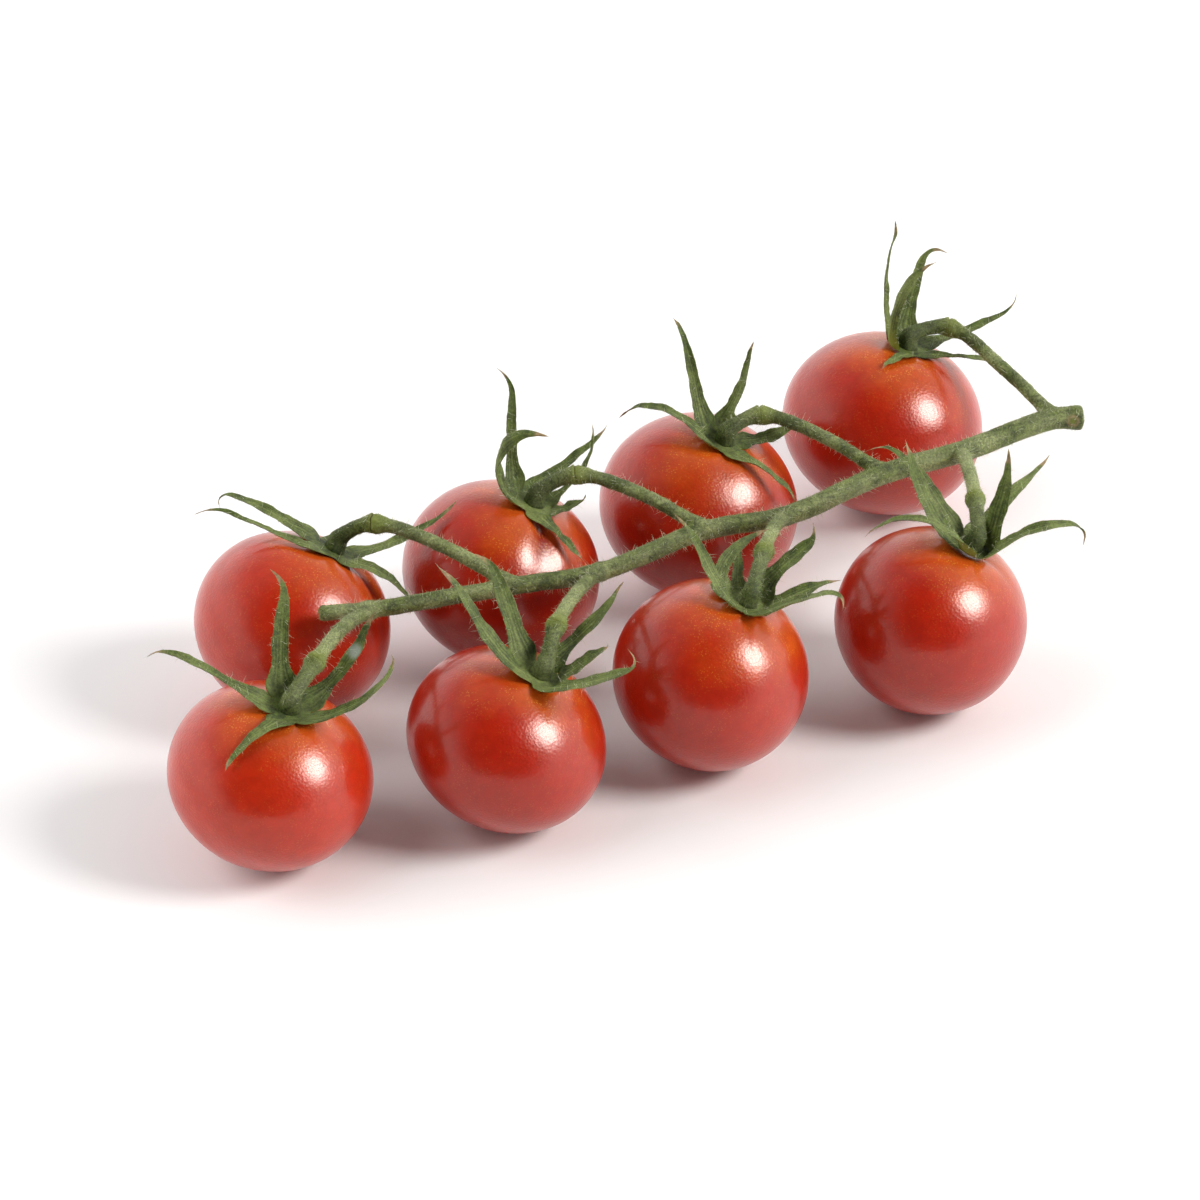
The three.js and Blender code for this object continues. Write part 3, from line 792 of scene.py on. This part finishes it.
def calyx_piece(fruit):
    random = np.random.default_rng(FRUITS.index(fruit) + 11)
    points, faces, creased, along, margin = calyx_cage(fruit, random)
    piece = make_piece(
        "sepals_" + fruit, points, faces, SEPAL_GREEN, "calyx_" + fruit
    )
    note(piece, "along", along)
    note(piece, "margin", margin)
    crease = piece.data.attributes.new("crease_edge", "FLOAT", "EDGE")
    wanted = {frozenset(pair) for pair in creased}
    crease.data.foreach_set(
        "value",
        [MARGIN_CREASE if frozenset(e.vertices) in wanted else 0.0 for e in piece.data.edges],
    )
    subdivided(piece, SEPAL_LEVELS)
    along, margin = noted_values(piece, "along"), noted_values(piece, "margin")
    place, normal = points_of(piece), normals_of(piece)
    middle, axis = SIZES[fruit][:2]
    seed = FRUITS.index(fruit) * 3.7
    veins = np.exp(-((margin / 0.14) ** 2)) + 0.6 * np.exp(-(((margin - 0.36) / 0.08) ** 2))
    veins += 0.5 * np.exp(-(((margin - 0.66) / 0.08) ** 2))
    rough = grain(place, 0.9 * MM, seed) + 0.5 * grain(place, 0.35 * MM, seed + 5)
    fades = np.clip(1.1 - along, 0, 1) * np.clip(along * 6, 0, 1)
    height = VEIN_HEIGHT * veins * fades + BLADE_ROUGHNESS * rough
    wave = np.stack([grain(place, 1.3 * MM, seed + k) for k in (20, 30, 40)], axis=1)
    place = place + normal * height[:, None] + MARGIN_WAVE * wave * (margin**2 * fades)[:, None]
    set_points(piece, place)
    streaks = np.clip(veins, 0, 1) * fades * (0.8 + 0.6 * grain(place, 2 * MM, seed + 7))
    note(piece, "pale", np.clip(1.2 * streaks, 0, 1))
    # Painted shade: the strips between the veins are darkened as if in shadow.
    between = np.exp(-(((margin - 0.20) / 0.07) ** 2)) + np.exp(-(((margin - 0.51) / 0.07) ** 2))
    note(piece, "deep", 0.5 * between * fades)
    if fruit in SPOTS:
        away = np.linalg.norm(place - SPOTS[fruit], axis=1)
        note(piece, "mildew", 0.8 * np.exp(-((away / MILDEW_RADIUS) ** 4)))
    edge = 0.55 * np.clip((margin - 0.90) / 0.08, 0, 1) * np.clip(along * 5 - 1, 0, 1)
    patchy = 0.05 * grain(place, 1.2 * MM, seed + 9)
    note(piece, "dry", np.maximum(edge, np.clip((along + patchy - 0.86) / 0.05, 0, 1)))
    under = np.clip(0.55 - (normal @ axis) * 1.4, 0, 1)
    note(piece, "fresh", under * np.clip(1.3 - along / 0.22, 0, 1))
    return piece


CALYXES = {fruit: calyx_piece(fruit) for fruit in FRUITS}
for piece in CALYXES.values():
    print(piece.name, len(piece.data.polygons), "faces")

# %% [markdown]
# ## The stalks
#
# The short stalk between the knuckle and the calyx is a bent rod, thick at both ends. The plain
# node gives rings of points along it. A smooth curve through their middles, with a round section
# that follows their radii, makes the rod fine again. Each end runs on a little, to meet the stem at
# the break line of the knuckle and to root in the calyx.

# %% Sweep a rod along a line
def swept(line, radii, sides):
    """Points and faces of a closed rod along a line, and for each point where along it is."""
    points, where = [], []
    side = None
    for j, middle in enumerate(line):
        way = unit(line[min(j + 1, len(line) - 1)] - line[max(j - 1, 0)])
        if side is None:
            side = unit(np.cross(way, [0.3, 0.2, 1.0]))
        side = unit(side - (side @ way) * way)
        up = np.cross(way, side)
        for k in range(sides):
            angle = 2 * math.pi * k / sides
            ridge = 1 + 0.025 * math.cos(5 * angle + 0.05 * j)
            spoke = math.cos(angle) * side + math.sin(angle) * up
            points.append(middle + spoke * radii[j] * ridge)
            where.append(j / (len(line) - 1))
    faces = []
    for j in range(len(line) - 1):
        for k in range(sides):
            k1 = (k + 1) % sides
            a, b = j * sides, (j + 1) * sides
            faces.append((a + k, a + k1, b + k1, b + k))
    for ring, ways in ((0, -1), (len(line) - 1, 1)):
        centre = len(points)
        points.append(np.mean(points[ring * sides : (ring + 1) * sides], axis=0))
        where.append(ring / (len(line) - 1))
        for k in range(sides):
            edge = (ring * sides + k, ring * sides + (k + 1) % sides)
            faces.append((*edge[::ways], centre))
    return np.array(points), faces, np.array(where)


# %% Sweep the stalks
STALK_SIDES = 28
STALK_STEPS = 44
STALK_RINGS = 7
STALK_ROUGHNESS = 0.05 * MM
BREAKS = {}  # where each stalk meets its knuckle


def stalk_piece(fruit):
    points, triangles = welded("stalk_" + fruit)
    near = neighbours(len(points), triangles)
    centres = [i for i in range(len(points)) if len(near[i]) >= 10]
    start = max(centres, key=lambda i: np.linalg.norm(points[i] - SIZES[fruit][0]))
    rings = walk(near, start, STALK_RINGS)
    line = [points[ring].mean(axis=0) for ring in rings]
    radii = [np.linalg.norm(points[ring] - m, axis=1).mean() for ring, m in zip(rings, line)]
    line = through(line, STALK_STEPS)
    radii = through(radii, STALK_STEPS)
    outwards, inwards = unit(line[0] - line[1]), unit(line[-1] - line[-2])
    first = [line[0] + outwards * 0.20 * MM, line[0] + outwards * 0.12 * MM]
    line = np.vstack([first, line, line[-1] + inwards * 0.7 * MM])
    radii = np.concatenate([[radii[0] * 0.90, radii[0] * 0.97], radii, [radii[-1] * 1.12]])
    rod, faces, where = swept(line, radii, STALK_SIDES)
    piece = make_piece("stalklet_" + fruit, rod, faces, STEM_GREEN, "stalk_" + fruit)
    place, normal = points_of(piece), normals_of(piece)
    rough = grain(place, 0.8 * MM, 3) + 0.6 * grain(place, 0.3 * MM, 4)
    set_points(piece, place + normal * (STALK_ROUGHNESS * rough)[:, None])
    note(piece, "pale", np.clip(0.4 * grain(place, 2 * MM, 8), 0, 1) * (where > 0.08))
    note(piece, "fresh", 0.5 * np.exp(-((where / 0.12) ** 2)))
    # Painted shade: a stalk darkens from its knuckle towards its calyx, more in the back row.
    painted_shade_depth = 0.60 if "back" in fruit else 0.38
    note(piece, "deep", painted_shade_depth * np.clip((where - 0.10) / 0.35, 0, 1))
    note(piece, "dry", 0.35 * np.exp(-((where / 0.012) ** 2)))
    BREAKS[fruit] = line[0]
    return piece


STALKS = {fruit: stalk_piece(fruit) for fruit in FRUITS}
for piece in STALKS.values():
    print(piece.name, len(piece.data.polygons), "faces")

# %% [markdown]
# ## The main stem
#
# The main stem and its eight pedicels grew as one piece, and they flow into each other at the
# joints. Remeshing the plain node on a fine grid of voxels melts the joints together, and smoothing
# takes the facets off and rounds the inner corners. Smoothing also makes the stem a little thinner,
# so its surface is pushed out again. Long ridges, small bumps and a collar at each knuckle come last.

# %% Melt and smooth the stem
VOXEL = 0.22 * MM
SMOOTHINGS = 26


def melted_stem():
    points, triangles = welded("main_stem")
    piece = make_piece("stem", points, triangles, STEM_GREEN, "main_stem")
    remesh = piece.modifiers.new("melt", "REMESH")
    remesh.mode = "VOXEL"
    remesh.voxel_size = VOXEL
    smooth = piece.modifiers.new("smooth", "SMOOTH")
    smooth.factor = 0.5
    smooth.iterations = SMOOTHINGS
    bpy.context.view_layer.update()
    shaped = piece.evaluated_get(bpy.context.evaluated_depsgraph_get())
    fine = bpy.data.meshes.new_from_object(shaped)
    piece.modifiers.clear()
    piece.data = fine
    piece.data.polygons.foreach_set("use_smooth", [True] * len(piece.data.polygons))
    return piece


STEM = melted_stem()
print(STEM.name, len(STEM.data.polygons), "faces")

# %% Finish the stem
SHRINK = 0.10 * MM
RIDGE_HEIGHT, BUMP_HEIGHT, COLLAR_HEIGHT = 0.08 * MM, 0.06 * MM, 0.20 * MM
BUD_SCAR = 3.0 * MM  # how far from the thick end a bud has left its ring


def finish_stem(piece):
    place, normal = points_of(piece), normals_of(piece)
    drawn = place * np.array([0.16, 1, 1])
    ridges = grain(drawn, 0.75 * MM, 21)
    bumps = grain(place, 1.6 * MM, 22) + 0.5 * grain(place, 0.45 * MM, 23)
    far = {fruit: np.linalg.norm(place - BREAKS[fruit], axis=1) / MM for fruit in FRUITS}
    collar = sum(np.exp(-(((far[fruit] - 0.9) / 0.6) ** 2)) for fruit in FRUITS)
    height = SHRINK + RIDGE_HEIGHT * ridges + BUMP_HEIGHT * bumps + COLLAR_HEIGHT * collar
    place = place + normal * height[:, None]
    set_points(piece, place)
    # The two cut ends are dry.
    ends = np.maximum(
        np.clip((place[:, 0] - (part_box("main_stem")[1].x - 0.55 * MM)) / (0.3 * MM), 0, 1),
        np.clip((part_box("main_stem")[0].x + 0.45 * MM - place[:, 0]) / (0.3 * MM), 0, 1),
    )
    # Green is fresh at the knuckles. Above them the front pedicels are painted paler, a painted
    # light, and the back pedicels are painted darker, a painted shade.
    fresh = sum(np.exp(-((far[fruit] / 2.0) ** 2)) for fruit in FRUITS)
    painted_light_front = 1.2 * sum(np.exp(-(((far[f] - 4.5) / 2.4) ** 4)) for f in FRUITS if "front" in f)
    painted_shade_back = 0.45 * sum(np.exp(-(((far[f] - 4.5) / 3.5) ** 4)) for f in FRUITS if "back" in f)
    right_end = np.abs(place[:, 0] - (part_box("main_stem")[1].x - BUD_SCAR)) < 0.3 * MM
    centre = place[np.argmax(np.where(right_end, place @ [-0.25, -0.90, 0.20], -1))]
    near = np.linalg.norm(place - centre, axis=1) / MM
    ring = np.exp(-(((near - 0.75) / 0.22) ** 2))
    note(piece, "dry", np.clip(0.75 * ends + 0.7 * ring, 0, 1))
    note(piece, "fresh", np.clip(fresh + 0.8 * np.exp(-((near / 0.45) ** 2)), 0, 1))
    streaks = 0.5 * grain(place * np.array([0.12, 1, 1]), 0.5 * MM, 33)
    patches = 0.25 + 0.6 * grain(place, 3 * MM, 31)
    # Pale holds random patches, lengthwise streaks and the painted light; deep holds random darker
    # patches and the painted shade.
    note(piece, "pale", np.clip(patches + streaks + painted_light_front, 0, 1))
    hollows = 0.7 * grain(place * np.array([0.5, 1, 1]), 1.8 * MM, 35)
    note(piece, "deep", np.clip(painted_shade_back + hollows, 0, 0.7) * (1 - np.clip(painted_light_front, 0, 1)))


finish_stem(STEM)
print(STEM.name, "is", round(max(STEM.dimensions) / MM, 1), "mm long")

# %% [markdown]
# ## Down
#
# Every green surface is downy, and the light catches the down along the outlines. There are two
# kinds of hair: a dense, short felt in a dull green, and a few long, pale hairs that stand out of it.
# Both are real geometry, thin cones with three sides, because a particle system would be lost when
# the model is handed on. They grow at random places, in proportion to the area of each face and
# thickest along the margins of the sepals, and they lean at random. The seeds are fixed, so that
# they grow the same way each time.

# %% Grow hairs on a surface
HAIR_LEAN = 0.40
HAIR_BEND = 0.3
# The rings of a hair, each as how far up it is and its share of the thickness.
LONG_HAIR = (-0.03, 1.0), (0.35, 0.75), (0.70, 0.45)
SHORT_HAIR = ((-0.05, 1.0),)


def hair_piece(name, surface, count, lengths, thickness, material, seed, slot, chosen=None):
    """Spikes on a surface, on the chosen points if they are given. Only long ones are bent."""
    random = np.random.default_rng(seed)
    shortest, longest = lengths
    mesh = surface.data
    mesh.calc_loop_triangles()
    corners = np.zeros(len(mesh.loop_triangles) * 3, np.int32)
    mesh.loop_triangles.foreach_get("vertices", corners)
    corners = corners.reshape(-1, 3)
    place, normal = points_of(surface), normals_of(surface)
    a, b, c = (place[corners[:, k]] for k in range(3))
    weight = np.linalg.norm(np.cross(b - a, c - a), axis=1)
    if chosen is not None:
        weight = weight * chosen[corners].mean(axis=1)
    pick = random.choice(len(corners), count, p=weight / weight.sum())
    share = random.dirichlet((1, 1, 1), count)
    root = (place[corners[pick]] * share[:, :, None]).sum(axis=1)
    way = (normal[corners[pick]] * share[:, :, None]).sum(axis=1)
    way += random.normal(0, HAIR_LEAN, way.shape)
    way /= np.linalg.norm(way, axis=1)[:, None]
    length = random.uniform(shortest, longest, count) * random.uniform(0.5, 1, count)
    tips = root + way * length[:, None]
    # A hair that would end inside a fruit is left out.
    clear = np.ones(count, bool)
    for middle, _, across, _, _ in SIZES.values():
        clear &= np.linalg.norm(tips - middle, axis=1) > across
    root, way, length = root[clear], way[clear], length[clear]
    count = len(root)
    side = np.cross(way, random.normal(0, 1, way.shape))
    side /= np.linalg.norm(side, axis=1)[:, None]
    other = np.cross(way, side)
    bend = random.uniform(-HAIR_BEND, HAIR_BEND, count) * length
    rings = LONG_HAIR if longest > 0.8 * MM else SHORT_HAIR
    points = []
    for share_up, thick in rings:
        centre = root + way * (length * share_up)[:, None] + side * (bend * share_up**2)[:, None]
        for k in range(3):
            angle = 2 * math.pi * k / 3
            spoke = math.cos(angle) * side + math.sin(angle) * other
            points.append(centre + spoke * thickness * thick)
    points.append(root + way * length[:, None] + side * bend[:, None])
    each = len(points)
    points = np.stack(points, axis=1).reshape(-1, 3)
    pattern = [(2, 1, 0)]
    for ring in range(0, each - 4, 3):
        for k in range(3):
            k1 = (k + 1) % 3
            pattern.append((ring + k, ring + k1, ring + 3 + k1, ring + 3 + k))
    pattern += [(each - 4 + k, each - 4 + (k + 1) % 3, each - 1) for k in range(3)]
    faces = [tuple(each * n + i for i in face) for n in range(count) for face in pattern]
    make_piece(name, points, faces, material, None)
    print(name, count, "hairs")


# %% Grow down on every green piece
FELT_LENGTHS, FELT_THICKNESS = (0.20 * MM, 0.55 * MM), 0.020 * MM
HAIR_LENGTHS, HAIR_THICKNESS = (0.6 * MM, 1.7 * MM), 0.024 * MM
# How many short and long hairs a piece gets.
STEM_DOWN, SEPAL_DOWN, STALK_DOWN = (16000, 2400), (1500, 260), (700, 60)


def furry(name, surface, counts, seed, slot, chosen=None):
    felt, hair = (FELT_LENGTHS, FELT_THICKNESS, FELT), (HAIR_LENGTHS, HAIR_THICKNESS, HAIR)
    hair_piece("felt_" + name, surface, counts[0], *felt, seed, slot, chosen)
    hair_piece("hair_" + name, surface, counts[1], *hair, seed + 1, slot, chosen)


furry("stem", STEM, STEM_DOWN, 101, "stem_green")
for number, fruit in enumerate(FRUITS):
    margin = noted_values(CALYXES[fruit], "margin")
    density = 0.2 + (margin > 0.8) * 1.3
    furry("sepals_" + fruit, CALYXES[fruit], SEPAL_DOWN, 200 + 2 * number, "calyx_green", density)
    furry("stalk_" + fruit, STALKS[fruit], STALK_DOWN, 300 + 2 * number, "stem_green")

# %% [markdown]
# ## Table and light
#
# The truss lies on a plain white table in a bright, soft studio. A lamp with a round diffuser
# stands on the right and gives each fruit its highlight. A larger disk behind it, which only
# reflections see, softens the highlight's edge. A wide lamp on the left fills the shadows and
# leaves no highlight of its own. The rest comes from white surroundings with a dimmer ceiling and a
# dark near side, whose reflection leaves the fruits a deep red where they face the viewer.

# %% Lay the table
TABLE_SIZE = 8.0


def table():
    mesh = bpy.data.meshes.new("table")
    half = TABLE_SIZE / 2
    corners = [(-half, -half, 0), (half, -half, 0), (half, half, 0), (-half, half, 0)]
    mesh.from_pydata(corners, [], [(0, 1, 2, 3)])
    piece = bpy.data.objects.new("table", mesh)
    bpy.context.scene.collection.objects.link(piece)
    f = Finish("table_white")
    f.link(
        f.mix(f.noise(40 * MM), colour(0.90, 0.90, 0.90), colour(0.92, 0.92, 0.92)),
        f.shader.inputs["Base Color"],
    )
    f.set(Roughness=0.6, Specular_IOR_Level=0.2)
    mesh.materials.append(f.material)
    return piece


print("laid the", table().name)

# %% Hang the lamps
# The ways from the truss to the lamps.
LAMP_WAY = Vector((0.60, -0.49, 0.60)).normalized()
FILL_WAY = Vector((-0.72, 0.20, 0.66)).normalized()
WARM_WHITE = (1.0, 0.985, 0.96)


def lamp(name, way, distance, size, power, tint):
    data = bpy.data.lights.new(name, "AREA")
    data.shape = "DISK"
    data.size = size
    data.energy = power
    data.color = tint
    piece = bpy.data.objects.new(name, data)
    bpy.context.scene.collection.objects.link(piece)
    piece.location = AIM + way * distance
    piece.rotation_euler = (-way).to_track_quat("-Z", "Y").to_euler()
    return piece


key = lamp("key", LAMP_WAY, distance=1.0, size=0.40, power=8.6, tint=WARM_WHITE)
halo = lamp("halo", LAMP_WAY, distance=1.02, size=0.66, power=8.0, tint=WARM_WHITE)
halo.visible_diffuse = False
fill = lamp("fill", FILL_WAY, distance=1.3, size=1.2, power=9.0, tint=(1.0, 0.99, 0.98))
fill.visible_glossy = False
print("lamps:", key.name, halo.name, fill.name)

# %% Surround the table
WORLD_LIGHT = 1.6
# The dim places: the way to each from the truss, the cosines of the angles from it at which it
# begins and is full, and the share of the light that is left there.
DIM_PLACES = (
    (Vector((-0.33, -0.70, 0.63)).normalized(), 0.40, 0.82, 0.04),
    (Vector((0, 0, 1)), 0.35, 0.80, 0.35),
)


def surroundings():
    """White walls, a dimmer ceiling and a dark place on the near side."""
    world = bpy.data.worlds.new("studio")
    bpy.context.scene.world = world
    world.use_nodes = True
    tree = world.node_tree
    tree.nodes.clear()
    output = tree.nodes.new("ShaderNodeOutputWorld")
    light = tree.nodes.new("ShaderNodeBackground")
    place = tree.nodes.new("ShaderNodeTexCoord")
    shades = []
    for way, begins, full, least in DIM_PLACES:
        towards = tree.nodes.new("ShaderNodeVectorMath")
        towards.operation = "DOT_PRODUCT"
        towards.inputs[1].default_value = way
        tree.links.new(place.outputs["Generated"], towards.inputs[0])
        shade = tree.nodes.new("ShaderNodeMapRange")
        shade.interpolation_type = "SMOOTHSTEP"
        for socket, number in zip(range(1, 5), (begins, full, 1.0, least)):
            shade.inputs[socket].default_value = number
        tree.links.new(towards.outputs["Value"], shade.inputs[0])
        shades.append(shade.outputs[0])
    both = tree.nodes.new("ShaderNodeMath")
    both.operation = "MULTIPLY"
    tree.links.new(shades[0], both.inputs[0])
    tree.links.new(shades[1], both.inputs[1])
    tree.links.new(both.outputs[0], light.inputs["Color"])
    light.inputs["Strength"].default_value = WORLD_LIGHT
    tree.links.new(light.outputs[0], output.inputs["Surface"])
    return world


print("surrounded by the", surroundings().name)
bpy.context.scene.view_settings.view_transform = "Standard"
